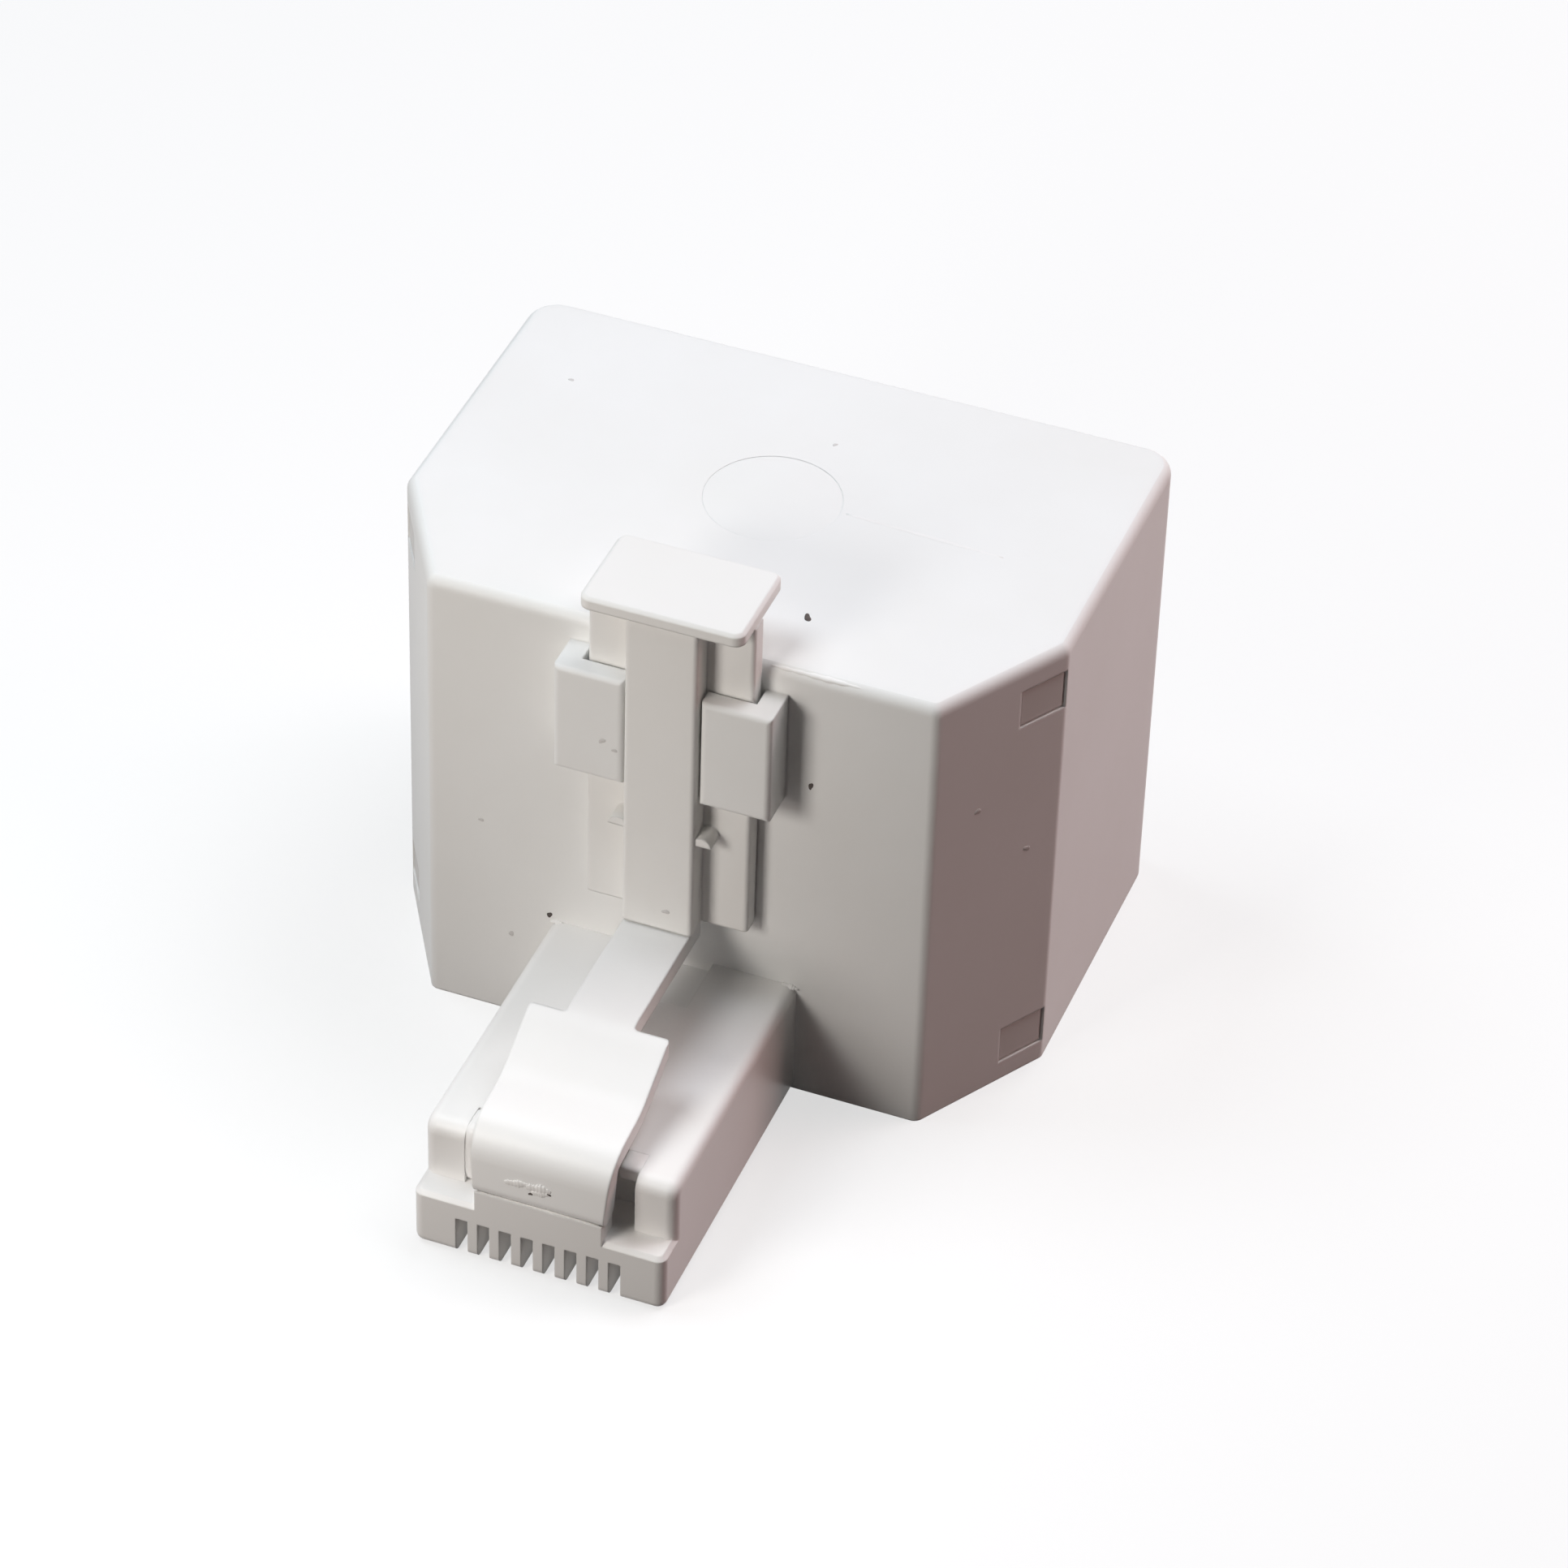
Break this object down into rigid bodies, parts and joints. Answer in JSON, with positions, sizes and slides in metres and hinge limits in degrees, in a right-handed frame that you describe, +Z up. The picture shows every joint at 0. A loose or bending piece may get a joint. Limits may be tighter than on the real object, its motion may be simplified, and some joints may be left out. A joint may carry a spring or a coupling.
{
  "type": "multi socket adapter",
  "caption": "White boxed adapter: a latched modular plug with a sliding latch release in front, modular sockets side by side at the back.",
  "frame": {"origin": "middle of the part in plan, on its underside", "axes": "+Z up, -Y the way the plug points, +X to the right of someone who faces the plug"},
  "size_m": [0.0308, 0.0368, 0.0266],
  "materials": {
    "housing_white": "satin moulded ABS, warm white",
    "block_white": "satin moulded ABS, warm white",
    "plug_white": "satin moulded ABS, warm white",
    "latch_white": "satin moulded ABS, warm white",
    "slider_white": "satin moulded ABS, warm white",
    "carrier_ivory": "moulded contact carrier",
    "contact_gold": "gold-flashed phosphor bronze",
    "board_green": "glass-epoxy board with solder mask"
  },
  "bodies": {
    "housing": {"housing_shell": "housing_white", "plug_body": "plug_white", "socket_block": "block_white", "circuit_board": "board_green", "left_contact_carrier": "carrier_ivory", "right_contact_carrier": "carrier_ivory", "plug_contact_1": "contact_gold", "plug_contact_2": "contact_gold", "plug_contact_3": "contact_gold", "plug_contact_4": "contact_gold", "plug_contact_5": "contact_gold", "plug_contact_6": "contact_gold", "plug_contact_7": "contact_gold", "plug_contact_8": "contact_gold", "left_socket_spring_1": "contact_gold", "left_socket_spring_2": "contact_gold", "left_socket_spring_3": "contact_gold", "left_socket_spring_4": "contact_gold", "left_socket_spring_5": "contact_gold", "left_socket_spring_6": "contact_gold", "left_socket_spring_7": "contact_gold", "left_socket_spring_8": "contact_gold", "right_socket_spring_1": "contact_gold", "right_socket_spring_2": "contact_gold", "right_socket_spring_3": "contact_gold", "right_socket_spring_4": "contact_gold", "right_socket_spring_5": "contact_gold", "right_socket_spring_6": "contact_gold", "right_socket_spring_7": "contact_gold", "right_socket_spring_8": "contact_gold"},
    "slider": {"release_slider": "slider_white"},
    "latch": {"plug_latch": "latch_white"}
  },
  "joints": [
    {"name": "release_slide", "type": "slide", "parent": "housing", "child": "slider", "axis": [0, 0, -1], "range_m": [0, 0.002], "stiffness_N_per_m": 400},
    {"name": "latch_flex", "type": "hinge", "parent": "housing", "child": "latch", "pos_m": [0, -0.0178, 0.0043], "axis": [-1, 0, 0], "range_deg": [0, 10]}
  ],
  "couplings": [
    {"joint": "latch_flex", "follows": "release_slide", "rad_per_m": 84}
  ]
}
